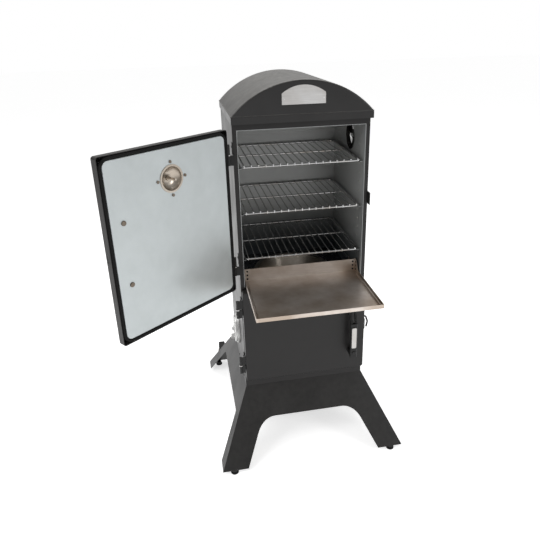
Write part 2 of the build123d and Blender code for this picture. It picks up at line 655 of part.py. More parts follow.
def build_shelf():
    """Pulled-out shelf with raised edges, a tall rear flange and two runners."""
    floor = box(-SHELF_HALF, SHELF_HALF, SHELF_FRONT, SHELF_REAR, SHELF_Z, SHELF_Z + THIN)
    front_lip = box(
        -SHELF_HALF, SHELF_HALF, SHELF_FRONT, SHELF_FRONT + THIN, SHELF_Z, SHELF_Z + SHELF_LIP)
    flange = box(
        -SHELF_HALF, SHELF_HALF, SHELF_REAR - THIN, SHELF_REAR, SHELF_Z, SHELF_Z + SHELF_FLANGE)
    tray = floor + front_lip + flange
    inner_wall = box(
        SHELF_HALF - 9.5, SHELF_HALF - 8, SHELF_FRONT, GUSSET_START, SHELF_Z, SHELF_Z + SHELF_LIP - 2)
    for wall in both_sides(inner_wall):
        tray += wall
    for side in both_sides(slab_x(shelf_side(), SHELF_HALF - THIN, SHELF_HALF)):
        tray += side
    runner = box(SHELF_HALF - 12, SHELF_HALF + 4, SHELF_REAR + 2, RUNNER_END, SHELF_Z, SHELF_Z + THIN)
    runner += box(SHELF_HALF - 12, SHELF_HALF, SHELF_REAR - 2, SHELF_REAR + 3, SHELF_Z, SHELF_Z + THIN)
    for side in both_sides(runner):
        tray += side
    save("shelf_tray", tray)
    rivets = []
    for step in range(3):
        z = SHELF_Z + 8 + 13 * step
        side = SHELF_HALF - THIN
        flange_y = SHELF_REAR - THIN
        rivets += both_sides(rod((side, flange_y - 7, z), (side - 1.5, flange_y - 7, z), 3.0))
        rivets += both_sides(rod((side - 9, flange_y, z), (side - 9, flange_y - 1.5, z), 3.0))
    save("shelf_rivets", *rivets)


def build_shelf_guides():
    """Channel on each liner side in which a shelf runner slides."""
    low, high = SHELF_Z - 4, SHELF_Z + 7
    guide = box(LINER_X - 1, LINER_X, GUIDE_FRONT, GUIDE_REAR, low, high)
    for z in (low, high - THIN):
        guide += box(SHELF_HALF + 1, LINER_X, GUIDE_FRONT, GUIDE_REAR, z, z + THIN)
    save("shelf_guides", *both_sides(guide))


def rack():
    """Wire rack at floor level: a bent rod frame with a middle rod, and wires over it."""
    front, rear = RACK_FRONT + RACK_ROD, RACK_REAR - RACK_ROD
    side = RACK_HALF - RACK_ROD
    middle = (front + rear) / 2
    outline = Pos(0, middle) * RectangleRounded(2 * side, rear - front, 12.0)
    path = outline.face().outer_wire()
    frame = sweep(Plane(origin=path @ 0, z_dir=path % 0) * Circle(RACK_ROD), path=path)
    bars = [rod((-side, middle, 0), (side, middle, 0), RACK_ROD - 0.4)]
    lift = RACK_ROD + RACK_WIRE - 0.6
    tip = front - RACK_ROD + 0.6
    for index in range(RACK_WIRES):
        x = (index - (RACK_WIRES - 1) / 2) * RACK_PITCH
        bars.append(rod((x, tip - 0.6, lift), (x, rear + RACK_ROD / 2, lift), RACK_WIRE))
        bars.append(rod((x, tip, lift), (x, tip, -2), RACK_WIRE))
    return frame.fuse(*bars)


def build_racks():
    """Three racks on their side rails."""
    shape = rack()
    rails = []
    for node, z in RACK_LEVELS.items():
        save(node, Pos(0, 0, z) * shape)
        ledge_top = z - RACK_ROD - 0.3
        rail = box(LINER_X - 12, LINER_X, GUIDE_FRONT, GUIDE_REAR, ledge_top - THIN, ledge_top)
        rail += box(LINER_X - THIN, LINER_X, GUIDE_FRONT, GUIDE_REAR, ledge_top - 12, ledge_top)
        rails += both_sides(rail)
    save("rack_rails", *rails)


# ---------------------------------------------------------------- fire compartment
def build_ash_pan():
    """Sliding pan with a wire pull, and the two angle runners that carry it."""
    top = PAN_BOTTOM + PAN_HEIGHT
    pan = box(-PAN_HALF, PAN_HALF, PAN_FRONT, PAN_REAR, PAN_BOTTOM, top)
    pan -= box(
        -PAN_HALF + THIN, PAN_HALF - THIN, PAN_FRONT + THIN, PAN_REAR - THIN, PAN_BOTTOM + THIN, top)
    z = PAN_BOTTOM + 24
    reach = PAN_FRONT - 13
    start, end = (-35, PAN_FRONT + 1, z), (35, PAN_FRONT + 1, z)
    pull = FilletPolyline(start, (-35, reach, z), (35, reach, z), end, radius=7)
    pan += sweep(Plane(origin=start, z_dir=(0, -1, 0)) * Circle(2.5), path=pull)
    save("ash_pan", pan)
    flange_top = PAN_BOTTOM - 0.3
    runner = box(136, 148, -165, 150, flange_top - THIN, flange_top)
    runner += box(148 - THIN, 148, -165, 150, LINER_BOTTOM + THIN, flange_top)
    save("pan_runners", *both_sides(runner))


def slot_row(count, pitch):
    """Centres of evenly spaced slots about zero."""
    return [(index - (count - 1) / 2) * pitch for index in range(count)]


def build_basket():
    """Slotted charcoal basket on four short legs."""
    top = BASKET_BOTTOM + BASKET_HEIGHT
    x, y = BASKET_HALF_X, BASKET_HALF_Y
    basket = box(-x, x, -y, y, BASKET_BOTTOM, top)
    basket -= box(-x + THIN, x - THIN, -y + THIN, y - THIN, BASKET_BOTTOM + THIN, top)
    low, high = BASKET_BOTTOM + 18, top - 18
    for centre in slot_row(9, 26.0):
        basket -= box(centre - 5, centre + 5, -y - 1, y + 1, low, high)
        basket -= box(centre - 4, centre + 4, -y + 20, y - 20, BASKET_BOTTOM - 1, BASKET_BOTTOM + THIN)
    for centre in slot_row(8, 26.0):
        basket -= box(-x - 1, x + 1, centre - 5, centre + 5, low, high)
    floor = PAN_BOTTOM + THIN
    for leg_x in (-x + 12, x - 12):
        for leg_y in (-y + 10, y - 10):
            basket += rod((leg_x, leg_y, floor), (leg_x, leg_y, BASKET_BOTTOM + 0.5), 4.0)
    save("charcoal_basket", basket)


def build_bowl():
    """Water bowl hung by its rim in a holed plate."""
    bottom = BOWL_TOP - BOWL_DEPTH
    section = polygon(
        (0, bottom), (BOWL_BASE, bottom), (BOWL_WALL, BOWL_TOP - THIN), (BOWL_RADIUS, BOWL_TOP - THIN),
        (BOWL_RADIUS, BOWL_TOP), (BOWL_WALL - THIN, BOWL_TOP), (BOWL_BASE - THIN, bottom + THIN),
        (0, bottom + THIN))
    save("water_bowl", Pos(0, BOWL_Y, 0) * revolve(Plane.XZ * section, Axis.Z))
    plate = box(-LINER_X, LINER_X, -150, LINER_BACK, SUPPORT_Z, SUPPORT_Z + THIN - 0.2)
    plate -= rod((0, BOWL_Y, SUPPORT_Z - 1), (0, BOWL_Y, SUPPORT_Z + THIN + 1), BOWL_WALL + 2.5)
    save("bowl_support", plate)


# ---------------------------------------------------------------- dampers and hook
def air_slots():
    """Three curved air slots about a damper's centre, leaving a spoke straight down."""
    ring = Circle(38.0) - Circle(18.0)
    reach, half = 60.0, radians(29.0)
    wedge = polygon(
        (0, 0), (reach * cos(half), -reach * sin(half)), (reach * cos(half), reach * sin(half)))
    slot = ring & wedge
    return [Rot(0, 0, 90 + 120 * turn) * slot for turn in range(3)]


def damper_housing(centre):
    """Fixed cast ring on the outside of the +X side sheet, with a spigot that lines the duct."""
    disc = Circle(HOUSING_RADIUS) - Circle(BOLT_RADIUS + 0.02)
    for slot in air_slots():
        disc -= slot
    housing = slab_x(Pos(*centre) * disc, HALF_WIDTH, HALF_WIDTH + HOUSING_DEPTH)
    ring = Circle(DUCT_RADIUS - 0.2) - Circle(DUCT_RADIUS - 2.2)
    return housing + slab_x(Pos(*centre) * ring, LINER_X, HALF_WIDTH)


def damper_rotor(centre):
    """Turning cast disc with matching slots, a hub and a lozenge knob below it."""
    x0 = HALF_WIDTH + HOUSING_DEPTH + 0.4
    x1 = x0 + ROTOR_DEPTH
    disc = Circle(ROTOR_RADIUS)
    for slot in air_slots():
        disc -= slot
    rotor = slab_x(Pos(*centre) * disc, x0, x1)
    rotor += slab_x(Pos(*centre) * Circle(12.0), x1 - 1, x1 + 6)
    lozenge = polygon((0, -13), (7, 0), (0, 13), (-7, 0))
    lozenge = fillet(lozenge.vertices(), 2.0)
    rotor += slab_x(Pos(centre[0], centre[1] - 31) * lozenge, x1 - 1, x1 + KNOB_LENGTH)
    return rotor - rod((x0, *centre), (x1 + 6, *centre), BOLT_RADIUS + RUNNING)


def damper_bolt(centre):
    """Centre bolt with its nut inside the duct and its head outside the hub."""
    hub = HALF_WIDTH + HOUSING_DEPTH + 0.4 + ROTOR_DEPTH + 6
    bolt = rod((HALF_WIDTH - 8, *centre), (hub + 1, *centre), BOLT_RADIUS)
    bolt += rod((HALF_WIDTH - 6, *centre), (HALF_WIDTH, *centre), 6.5)
    return bolt + rod((hub + 0.4, *centre), (hub + 4, *centre), 6.5)


def build_dampers():
    """An intake damper low on each side and an exhaust damper high on the right side."""
    save(
        "damper_housings", *both_sides(damper_housing(INTAKE)), damper_housing(EXHAUST))
    save("damper_bolts", *both_sides(damper_bolt(INTAKE)), damper_bolt(EXHAUST))
    right, left = both_sides(damper_rotor(INTAKE))
    save("intake_damper_right", right)
    save("intake_damper_left", left)
    save("exhaust_damper", damper_rotor(EXHAUST))


def build_hook():
    """Bent wire tool hook on the right side, on a small round plate."""
    start = (HALF_WIDTH, HOOK_Y, HOOK_Z)
    path = FilletPolyline(
        start, (HALF_WIDTH + 22, HOOK_Y, HOOK_Z), (HALF_WIDTH + 29, HOOK_Y, HOOK_Z - 22),
        (HALF_WIDTH + 25, HOOK_Y, HOOK_Z - 42), radius=8)
    wire = sweep(Plane(origin=start, z_dir=(1, 0, 0)) * Circle(3.0), path=path)
    plate = rod(start, (HALF_WIDTH + 2, HOOK_Y, HOOK_Z), 9.0)
    save("tool_hook", wire + plate)


os.makedirs("parts", exist_ok=True)
build_walls()
build_front_frame()
build_lid()
build_base()
build_wheels()
build_hinges()
build_latches()
build_upper_door()
build_lower_door()
build_shelf()
build_shelf_guides()
build_racks()
build_ash_pan()
build_basket()
build_bowl()
build_dampers()
build_hook()
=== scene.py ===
"""Looks for the upright cabinet smoker: materials, small modelled details, floor, light and camera.

Metres, +Z up, front of the cabinet towards -Y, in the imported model's own frame.
"""

import json
from math import cos, pi, radians, sin

import bmesh
import bpy
from mathutils import Matrix, Vector


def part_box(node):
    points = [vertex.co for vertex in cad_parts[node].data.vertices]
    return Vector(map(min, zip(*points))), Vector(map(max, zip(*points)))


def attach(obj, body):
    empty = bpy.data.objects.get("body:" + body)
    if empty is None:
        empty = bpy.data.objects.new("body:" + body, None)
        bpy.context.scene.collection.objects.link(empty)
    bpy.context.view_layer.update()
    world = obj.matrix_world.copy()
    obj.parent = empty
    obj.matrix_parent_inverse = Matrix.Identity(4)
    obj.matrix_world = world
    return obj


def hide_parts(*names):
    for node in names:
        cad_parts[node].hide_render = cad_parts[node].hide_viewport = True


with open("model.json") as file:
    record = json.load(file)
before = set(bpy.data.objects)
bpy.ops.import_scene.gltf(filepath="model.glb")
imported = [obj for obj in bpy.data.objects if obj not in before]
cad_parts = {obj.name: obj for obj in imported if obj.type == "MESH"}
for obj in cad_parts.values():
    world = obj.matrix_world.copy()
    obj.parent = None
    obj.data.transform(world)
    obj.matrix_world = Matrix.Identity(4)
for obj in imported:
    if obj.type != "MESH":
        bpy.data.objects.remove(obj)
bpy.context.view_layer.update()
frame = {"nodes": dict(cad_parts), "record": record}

JOINTS = {joint["name"]: joint for joint in frame["record"]["behaviour"]["joints"]}
MM = 0.001
HALF_DEPTH = 181 * MM
CABINET_X = (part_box("side_panels")[0][0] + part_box("side_panels")[1][0]) / 2
CABINET_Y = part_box("back_panel")[1][1] - HALF_DEPTH
CABINET = Vector((CABINET_X, CABINET_Y, 0))

# Heights above the floor. The first two bound the painted shade low in the cabinet's lining: full
# below the first, gone above the second.
SHADE_FULL_HEIGHT, SHADE_CLEAR_HEIGHT = 0.60, 0.76
INTAKE_HEIGHT, EXHAUST_HEIGHT = 0.365, 1.031
HINGE_HEIGHTS = (1.028, 0.686, 0.536, 0.328)
CATCH_HEIGHTS = {"upper_door": 0.858, "lower_door": 0.430}

# Castings are painted near-black as shade up to this distance either side of the cabinet's middle,
# and bare beyond it.
SHADED_HALF_WIDTH = 203.2 * MM

# From the lid's rim up to the crown of its arch.
ARCH_RISE = 93 * MM


# ---------------------------------------------------------------- node helpers
class Shader:
    """A new material with one Principled surface, and short calls for the nodes used here."""

    def __init__(self, name, colour, roughness, metallic=0.0):
        self.material = bpy.data.materials.new(name)
        self.material.use_nodes = True
        self.tree = self.material.node_tree
        self.surface = self.tree.nodes["Principled BSDF"]
        self.surface.inputs["Base Color"].default_value = (*colour, 1.0)
        self.surface.inputs["Roughness"].default_value = roughness
        self.surface.inputs["Metallic"].default_value = metallic

    def node(self, kind, **settings):
        node = self.tree.nodes.new(kind)
        for key, value in settings.items():
            setattr(node, key, value)
        return node

    def link(self, source, target):
        self.tree.links.new(source, target)

    def place(self, stretch=(1.0, 1.0, 1.0)):
        """Object coordinates, in metres, stretched along the axes."""
        coordinate = self.node("ShaderNodeTexCoord")
        mapping = self.node("ShaderNodeMapping")
        mapping.inputs["Scale"].default_value = stretch
        self.link(coordinate.outputs["Object"], mapping.inputs["Vector"])
        return mapping.outputs["Vector"]

    def noise(self, vector, scale, detail=4.0, roughness=0.55):
        noise = self.node("ShaderNodeTexNoise")
        noise.inputs["Scale"].default_value = scale
        noise.inputs["Detail"].default_value = detail
        noise.inputs["Roughness"].default_value = roughness
        self.link(vector, noise.inputs["Vector"])
        return noise.outputs["Fac"]

    def cells(self, vector, scale):
        cells = self.node("ShaderNodeTexVoronoi")
        cells.inputs["Scale"].default_value = scale
        self.link(vector, cells.inputs["Vector"])
        return cells.outputs["Distance"]

    def span(self, value, low, high, out_low=0.0, out_high=1.0):
        """Maps low..high to out_low..out_high, held at both ends."""
        span = self.node("ShaderNodeMapRange")
        for key, number in (
                ("From Min", low), ("From Max", high), ("To Min", out_low), ("To Max", out_high)):
            span.inputs[key].default_value = number
        self.link(value, span.inputs["Value"])
        return span.outputs["Result"]

    def blend(self, amount, first, second):
        """Mix of two colours; each is a colour or another node's output."""
        mix = self.node("ShaderNodeMix", data_type="RGBA")
        self.link(amount, mix.inputs["Factor"])
        for socket, colour in ((mix.inputs["A"], first), (mix.inputs["B"], second)):
            self.fill(socket, colour)
        return mix.outputs["Result"]

    def fill(self, socket, colour):
        if isinstance(colour, tuple):
            socket.default_value = (*colour, 1.0)
        else:
            self.link(colour, socket)

    def axis(self, vector, name):
        parts = self.node("ShaderNodeSeparateXYZ")
        self.link(vector, parts.inputs["Vector"])
        return parts.outputs[name]

    def facing_up(self):
        """1 where the surface faces up, 0 where it is upright or faces down."""
        geometry = self.node("ShaderNodeNewGeometry")
        return self.span(self.axis(geometry.outputs["Normal"], "Z"), 0.35, 1.0)

    def colour(self, source):
        self.link(source, self.surface.inputs["Base Color"])

    def roughness(self, source):
        self.link(source, self.surface.inputs["Roughness"])

    def bump(self, height, strength, distance):
        bump = self.node("ShaderNodeBump")
        bump.inputs["Strength"].default_value = strength
        bump.inputs["Distance"].default_value = distance
        self.link(height, bump.inputs["Height"])
        self.link(bump.outputs["Normal"], self.surface.inputs["Normal"])


# ---------------------------------------------------------------- materials
def powder_coat(name, colour, roughness, dust_and_top_light, gloss=0.30):
    """Baked powder paint: fine orange peel, cloudy gloss, and faces turned up paler from pale dust
    plus painted light from above.
    """
    shader = Shader(name, colour, roughness)
    shader.surface.inputs["Specular IOR Level"].default_value = gloss
    place = shader.place()
    clouds = shader.noise(place, 9.0, 5.0)
    light = tuple(channel * 1.35 for channel in colour)
    paint = shader.blend(shader.span(clouds, 0.35, 0.7), colour, light)
    # Pale dust plus painted top light: faces turned up are blended towards pale grey.
    dust_and_top_light_mask = shader.node("ShaderNodeMath", operation="MULTIPLY")
    shader.link(shader.facing_up(), dust_and_top_light_mask.inputs[0])
    shader.link(shader.span(shader.noise(place, 60.0), 0.3, 0.8, dust_and_top_light * 0.4, dust_and_top_light), dust_and_top_light_mask.inputs[1])
    shader.colour(shader.blend(dust_and_top_light_mask.outputs["Value"], paint, (0.30, 0.29, 0.27)))
    shader.roughness(shader.span(clouds, 0.3, 0.7, roughness - 0.05, roughness + 0.07))
    peel = shader.noise(place, 750.0, 2.0)
    shader.bump(peel, 0.22, 0.00025)
    return shader.material


def liner_sheet(name, colour, metallic, low_shade):
    """Satin coated sheet with faint mottling, and painted shade that darkens it towards the bottom
    by the amount given last.
    """
    shader = Shader(name, colour, 0.34, metallic)
    place = shader.place()
    mottle = shader.noise(place, 14.0, 6.0)
    shade = tuple(channel * 0.88 for channel in colour)
    sheet = shader.blend(shader.span(mottle, 0.35, 0.7), shade, colour)
    # Painted shade: the sheet turns near-black from the upper height down to the lower one, by the
    # amount given last.
    if low_shade > 0:
        depth = shader.span(shader.axis(place, "Z"), SHADE_FULL_HEIGHT, SHADE_CLEAR_HEIGHT, low_shade, 0.0)
        sheet = shader.blend(depth, sheet, (0.030, 0.038, 0.045))
    shader.colour(sheet)
    shader.roughness(shader.span(mottle, 0.3, 0.75, 0.30, 0.42))
    shader.bump(shader.noise(place, 420.0, 2.0), 0.08, 0.0002)
    return shader.material


def brushed_steel(name, colour, along, roughness, stains=0.6):
    """Metal with fine parallel brush lines along one axis and soft cloudy handling marks."""
    shader = Shader(name, colour, roughness, 1.0)
    stretch = tuple(1.0 if axis == along else 60.0 for axis in "XYZ")
    lines = shader.noise(shader.place(stretch), 22.0, 3.0)
    clouds = shader.noise(shader.place(), 7.0, 4.0)
    dark = tuple(channel * 0.82 for channel in colour)
    grain = shader.blend(shader.span(lines, 0.35, 0.65), dark, colour)
    stain = (colour[0] * 0.60, colour[1] * 0.54, colour[2] * 0.48)
    shader.colour(shader.blend(shader.span(clouds, 0.42, 0.68, 0.0, stains), grain, stain))
    shader.roughness(shader.span(lines, 0.3, 0.7, roughness - 0.07, roughness + 0.09))
    shader.bump(lines, 0.10, 0.0001)
    return shader.material


def plated_wire(name, colour):
    """Bright plated wire with faint drawing marks and slightly warm patches."""
    shader = Shader(name, colour, 0.16, 1.0)
    place = shader.place()
    patches = shader.noise(place, 26.0, 4.0)
    warm = (colour[0] * 0.86, colour[1] * 0.80, colour[2] * 0.72)
    shader.colour(shader.blend(shader.span(patches, 0.48, 0.72), colour, warm))
    shader.roughness(shader.span(patches, 0.35, 0.7, 0.12, 0.26))
    shader.bump(shader.noise(place, 900.0, 2.0), 0.06, 0.0001)
    return shader.material


def cast_metal(name, colour, roughness):
    """As-cast aluminium with a pebbled skin, painted near-black as shade inside the cabinet's
    walls.
    """
    shader = Shader(name, colour, roughness, 0.85)
    place = shader.place()
    grain = shader.noise(place, 520.0, 4.0)
    pits = shader.cells(place, 380.0)
    dark = tuple(channel * 0.62 for channel in colour)
    bare = shader.blend(shader.span(grain, 0.34, 0.6), dark, colour)
    offset = shader.node("ShaderNodeMath", operation="SUBTRACT")
    shader.link(shader.axis(place, "X"), offset.inputs[0])
    offset.inputs[1].default_value = CABINET_X
    distance = shader.node("ShaderNodeMath", operation="ABSOLUTE")
    shader.link(offset.outputs["Value"], distance.inputs[0])
    outside = shader.span(distance.outputs["Value"], SHADED_HALF_WIDTH, SHADED_HALF_WIDTH + 1 * MM)
    # Painted shade: near-black inside the cabinet's walls, bare aluminium outside.
    shader.colour(shader.blend(outside, (0.010, 0.009, 0.008), bare))
    shader.roughness(shader.span(grain, 0.3, 0.7, roughness + 0.08, roughness - 0.06))
    raised = shader.span(pits, 0.1, 0.7)
    shader.bump(shader.blend(raised, (0.0, 0.0, 0.0), (1.0, 1.0, 1.0)), 0.25, 0.0003)
    return shader.material


def moulded(name, colour, roughness, grain_scale):
    """Dull moulded plastic or rubber with a fine leathery grain."""
    shader = Shader(name, colour, roughness)
    shader.surface.inputs["Specular IOR Level"].default_value = 0.28
    place = shader.place()
    grain = shader.cells(place, grain_scale)
    scuffs = shader.noise(place, 45.0, 6.0)
    pale = tuple(min(channel * 2.2 + 0.01, 1.0) for channel in colour)
    shader.colour(shader.blend(shader.span(scuffs, 0.45, 0.85, 0.0, 0.7), colour, pale))
    shader.roughness(shader.span(scuffs, 0.3, 0.7, roughness - 0.08, roughness + 0.08))
    shader.bump(grain, 0.22, 0.0003)
    return shader.material


def enamel(name):
    """Black vitreous enamel with fine pale specks."""
    shader = Shader(name, (0.012, 0.012, 0.014), 0.22)
    place = shader.place()
    specks = shader.span(shader.cells(place, 260.0), 0.10, 0.16, 1.0, 0.0)
    shader.colour(shader.blend(specks, (0.012, 0.012, 0.014), (0.22, 0.22, 0.23)))
    shader.roughness(shader.span(shader.noise(place, 20.0), 0.3, 0.7, 0.16, 0.32))
    shader.bump(shader.noise(place, 130.0), 0.10, 0.0004)
    return shader.material


def braid(name):
    """Graphite-black rope fibres with slightly paler flecks."""
    shader = Shader(name, (0.014, 0.014, 0.015), 0.85)
    place = shader.place()
    fibres = shader.noise(place, 1400.0, 3.0)
    flecks = shader.span(fibres, 0.35, 0.75)
    shader.colour(shader.blend(flecks, (0.003, 0.003, 0.003), (0.016, 0.016, 0.016)))
    shader.roughness(shader.span(fibres, 0.3, 0.7, 0.75, 0.95))
    shader.bump(fibres, 0.5, 0.0004)
    shader.surface.inputs["Specular IOR Level"].default_value = 0.15
    return shader.material


def wool(name):
    """Pale mineral wool between the sheets."""
    shader = Shader(name, (0.62, 0.56, 0.40), 0.95)
    fibres = shader.noise(shader.place((1.0, 6.0, 1.0)), 240.0, 6.0)
    shader.colour(shader.blend(fibres, (0.42, 0.36, 0.22), (0.74, 0.69, 0.55)))
    shader.bump(fibres, 0.6, 0.001)
    return shader.material


def clear_glass(name):
    """Thin dial glass with faint smears."""
    shader = Shader(name, (0.96, 0.98, 0.98), 0.03)
    smears = shader.noise(shader.place(), 30.0, 3.0)
    shader.roughness(shader.span(smears, 0.4, 0.8, 0.02, 0.10))
    shader.surface.inputs["Transmission Weight"].default_value = 1.0
    shader.surface.inputs["IOR"].default_value = 1.45
    return shader.material


def printed_face(name, colour):
    """Matte printed sheet with a trace of mottling."""
    shader = Shader(name, colour, 0.55)
    mottle = shader.noise(shader.place(), 120.0, 3.0)
    shade = tuple(channel * 0.93 for channel in colour)
    shader.colour(shader.blend(mottle, colour, shade))
    shader.roughness(shader.span(mottle, 0.3, 0.7, 0.48, 0.62))
    return shader.material


BODY_PAINT = powder_coat("body_powder_coat", (0.0085, 0.0078, 0.0077), 0.36, 0.16)
# The lid's large amount of paleness on top is mostly painted light from above.
LID_PAINT = powder_coat("lid_powder_coat", (0.0085, 0.0080, 0.0080), 0.31, 0.60, 0.40)
BASE_PAINT = powder_coat("base_powder_coat", (0.0098, 0.0093, 0.0094), 0.40, 0.14)
BLACK_STEEL = powder_coat("black_steel", (0.006, 0.006, 0.006), 0.42, 0.06)
DOOR_LINER = liner_sheet("door_liner_sheet", (0.475, 0.51, 0.515), 0.55, 0.0)
# The cabinet's lining carries strong painted shade low down.
CABINET_LINER = liner_sheet("cabinet_liner_sheet", (0.32, 0.325, 0.32), 0.30, 0.93)
TRIM_SHEET = liner_sheet("trim_sheet", (0.30, 0.31, 0.31), 0.40, 0.0)
STAINLESS = brushed_steel("stainless_brushed", (0.52, 0.47, 0.41), "X", 0.33)
SHELF_STEEL = brushed_steel("shelf_brushed", (0.72, 0.66, 0.61), "X", 0.42, 1.0)
PLATE_METAL = brushed_steel("plate_brushed", (0.60, 0.595, 0.59), "X", 0.40)
ZINC = brushed_steel("zinc_steel", (0.66, 0.66, 0.67), "Z", 0.30)
BRONZED = brushed_steel("bronzed_steel", (0.20, 0.17, 0.14), "Z", 0.38)
CHROME = plated_wire("plated_wire", (0.50, 0.50, 0.50))
CAST = cast_metal("cast_aluminium", (0.88, 0.88, 0.87), 0.40)
PLASTIC = moulded("black_plastic", (0.005, 0.005, 0.005), 0.40, 700.0)
RUBBER = moulded("wheel_rubber", (0.016, 0.016, 0.016), 0.62, 420.0)
ENAMEL = enamel("speckled_enamel")
ROPE = braid("rope_braid")
WOOL = wool("mineral_wool")
GLASS = clear_glass("dial_glass")
DIAL = printed_face("dial_print", (0.80, 0.79, 0.75))
MARKS = printed_face("dial_marks", (0.03, 0.03, 0.03))
NEEDLE = printed_face("needle_paint", (0.45, 0.02, 0.015))

NODE_MATERIALS = {
    BODY_PAINT: (
        "front_frame", "side_panels", "back_panel", "end_plates",
        "upper_door_skin", "lower_door_skin"),
    LID_PAINT: ("lid",),
    BASE_PAINT: ("base_front", "base_back", "base_sides"),
    BLACK_STEEL: (
        "wheel_brackets", "hinge_brackets", "latch_strikes", "upper_door_hinges",
        "lower_door_hinges", "tool_hook", "shelf_rivets"),
    DOOR_LINER: ("upper_door_liner", "lower_door_liner"),
    CABINET_LINER: (
        "liner_sides", "liner_back", "liner_ends", "rack_rails", "shelf_guides", "pan_runners"),
    TRIM_SHEET: ("opening_trim",),
    STAINLESS: ("water_bowl", "thermometer_case", "thermometer_cup"),
    SHELF_STEEL: ("shelf_tray",),
    BRONZED: ("upper_door_screws",),
    PLATE_METAL: ("nameplate", "upper_handle_insert", "lower_handle_insert"),
    ZINC: ("wheel_bolts", "hinge_pins", "hinge_washers", "damper_bolts"),
    CHROME: ("rack_bottom", "rack_middle", "rack_top"),
    CAST: ("damper_housings", "intake_damper_left", "intake_damper_right", "exhaust_damper"),
    PLASTIC: ("foot_glides", "upper_door_handle", "lower_door_handle", "lower_door_screws"),
    RUBBER: ("wheel_left", "wheel_right"),
    ENAMEL: ("ash_pan", "charcoal_basket", "bowl_support"),
    ROPE: ("upper_door_gasket", "lower_door_gasket"),
    WOOL: ("wall_insulation",),
    GLASS: ("thermometer_glass",),
    DIAL: ("thermometer_dial",),
    NEEDLE: ("thermometer_needle",),
}


def paint_nodes():
    """Gives each CAD node its finish."""
    for material, names in NODE_MATERIALS.items():
        for name in names:
            data = frame["nodes"][name].data
            data.materials.clear()
            data.materials.append(material)


# ---------------------------------------------------------------- mesh helpers
def mesh_piece(name, mesh, body, material, smooth=True):
    """Turns a bmesh into a piece that rides on a body."""
    data = bpy.data.meshes.new(name)
    bmesh.ops.recalc_face_normals(mesh, faces=mesh.faces)
    mesh.to_mesh(data)
    mesh.free()
    data.materials.append(material)
    for face in data.polygons:
        face.use_smooth = smooth
    piece = bpy.data.objects.new(name, data)
    bpy.context.scene.collection.objects.link(piece)
    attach(piece, body)
    return piece


def bridge(mesh, low, high):
    """Joins two rings of equally many points with faces."""
    steps = len(low)
    for k in range(steps):
        after = (k + 1) % steps
        mesh.faces.new((low[k], low[after], high[after], high[k]))


def lathe(mesh, centre, axis, profile, steps):
    """Adds a turned solid: profile is (distance along the axis, radius) from end to end."""
    axis = Vector(axis).normalized()
    side = axis.orthogonal().normalized()
    other = axis.cross(side)
    rings = []
    for along, radius in profile:
        base = Vector(centre) + axis * along
        ring = []
        for k in range(steps):
            angle = 2 * pi * k / steps
            out = side * cos(angle) + other * sin(angle)
            ring.append(mesh.verts.new(base + out * radius))
        rings.append(ring)
    for low, high in zip(rings, rings[1:]):
        bridge(mesh, low, high)
    mesh.faces.new(rings[0][::-1])
    mesh.faces.new(rings[-1])


def dome_screw(mesh, centre, axis, radius, recess=True):
    """Adds a domed screw or rivet head, with a small round recess in its top if it is a screw."""
    height = radius * 0.5
    profile = [(0, radius), (height * 0.35, radius * 0.98)]
    profile += [
        (height * (0.35 + 0.65 * sin(radians(angle))), radius * cos(radians(angle)))
        for angle in (25, 45, 62, 74)]
    if recess:
        profile += [(height * 0.72, radius * 0.24), (height * 0.70, radius * 0.05)]
    lathe(mesh, centre, axis, profile, 20)


def swept(mesh, path, section_at, steps, closed=True):
    """Adds a tube along path, a list of (point, across, up).

    section_at(index, angle) gives its radius at each point of each ring.
    """
    rings = []
    for index, (point, across, up) in enumerate(path):
        ring = []
        for k in range(steps):
            angle = 2 * pi * k / steps
            radius = section_at(index, angle)
            offset = across * cos(angle) * radius + up * sin(angle) * radius
            ring.append(mesh.verts.new(point + offset))
        rings.append(ring)
    pairs = list(zip(rings, rings[1:] + rings[:1]))
    for low, high in pairs if closed else pairs[:-1]:
        bridge(mesh, low, high)


def tube(mesh, path, radius, steps, closed=True):
    """Adds a round tube of one radius along path."""
    swept(mesh, path, lambda index, angle: radius, steps, closed)


def hoop_path(centre, radius, facing, steps):
    """Path round a circle that faces along X."""
    path = []
    for k in range(steps):
        angle = 2 * pi * k / steps
        out = Vector((0, cos(angle), sin(angle)))
        path.append((centre + out * radius, out, Vector((facing, 0, 0))))
    return path


def rounded_loop(half, low, high, corner, spacing):
    """Points and outward directions round a rounded rectangle in X and Z, evenly spaced."""
    points = []
    corners = (
        (half - corner, high - corner, 0), (-half + corner, high - corner, 90),
        (-half + corner, low + corner, 180), (half - corner, low + corner, 270))
    for index, (x, z, start) in enumerate(corners):
        arc_steps = max(6, int(corner * pi / 2 / spacing))
        for step in range(arc_steps):
            angle = radians(start + 90 * step / arc_steps)
            points.append((Vector((x + corner * cos(angle), 0, z + corner * sin(angle))), angle))
        end = radians(start + 90)
        begin = Vector((x + corner * cos(end), 0, z + corner * sin(end)))
        next_x, next_z, _ = corners[(index + 1) % 4]
        finish = Vector((next_x + corner * cos(end), 0, next_z + corner * sin(end)))
        run_steps = max(1, int((finish - begin).length / spacing))
        for step in range(run_steps):
            points.append((begin.lerp(finish, step / run_steps), end))
    return points


